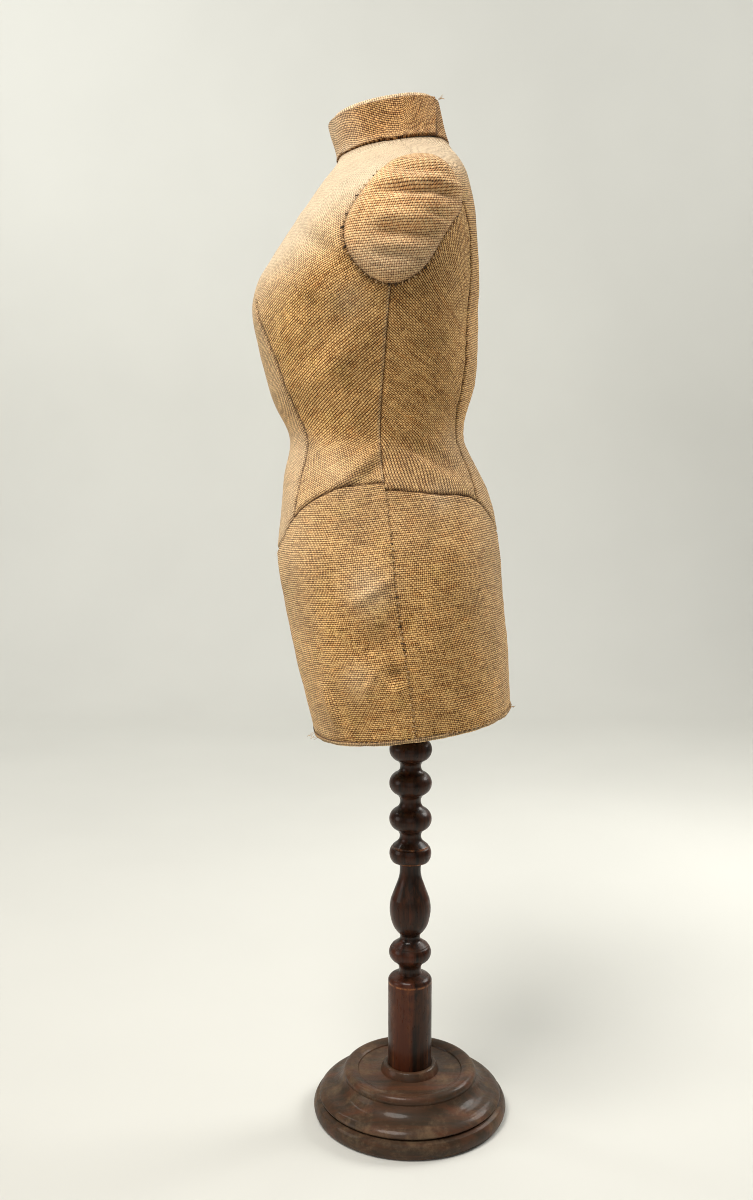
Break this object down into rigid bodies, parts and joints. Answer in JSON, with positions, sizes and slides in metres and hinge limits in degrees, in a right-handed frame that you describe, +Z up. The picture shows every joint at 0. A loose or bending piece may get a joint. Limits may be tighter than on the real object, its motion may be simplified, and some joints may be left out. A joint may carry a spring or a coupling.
{
  "type": "dress form",
  "caption": "Small-scale female dress form: cloth-covered torso with neck band and arm caps that turns on and lifts off a turned wooden pedestal.",
  "frame": {"origin": "centre of the underside of the base, on the column's axis", "axes": "+Z up along the column; the form's front faces -Y and its left side is +X"},
  "size_m": [0.2484, 0.2152, 0.8721],
  "materials": {
    "felt": "matte felt",
    "base_wood": "dark stained and polished hardwood, worn",
    "column_wood": "dark stained and polished hardwood, worn",
    "steel": "plain steel",
    "tack_steel": "dull tacks",
    "leather": "waxed leather",
    "board_wood": "bare softwood",
    "paper_shell": "pasted paper",
    "card": "cardboard",
    "wadding": "cotton wadding",
    "burlap": "plain-weave burlap",
    "burlap_band": "doubled burlap strip",
    "lining": "plain-weave burlap"
  },
  "bodies": {
    "stand": {"base_felt": "felt", "base_plinth": "base_wood", "base_moulding": "base_wood", "base_screws": "steel", "column": "column_wood", "column_screw": "steel", "column_screw_washer": "steel"},
    "swivel_washer": {"swivel_washer": "leather"},
    "form": {"hip_board": "board_wood", "socket_block": "board_wood", "socket_screws": "steel", "shell_front": "paper_shell", "shell_back": "paper_shell", "neck_block": "board_wood", "arm_plate_left": "card", "arm_plate_right": "card", "arm_pad_left": "wadding", "arm_pad_right": "wadding", "bodice_front": "burlap", "bodice_side_back_left": "burlap", "bodice_side_back_right": "burlap", "bodice_centre_back_left": "burlap", "bodice_centre_back_right": "burlap", "skirt_front": "burlap", "skirt_back_left": "burlap", "skirt_back_right": "burlap", "arm_cap_left": "burlap", "arm_cap_right": "burlap", "neck_band": "burlap_band", "neck_cap": "burlap", "bottom_cover": "lining", "hem_cord": "burlap_band", "cover_tacks": "tack_steel"}
  },
  "joints": [
    {"name": "swivel", "type": "hinge", "parent": "stand", "child": "swivel_washer", "pos_m": [0, 0, 0.366], "axis": [0, 0, 1], "continuous": true},
    {"name": "lift", "type": "slide", "parent": "swivel_washer", "child": "form", "axis": [0, 0, 1], "range_m": [0, 0.07]}
  ]
}
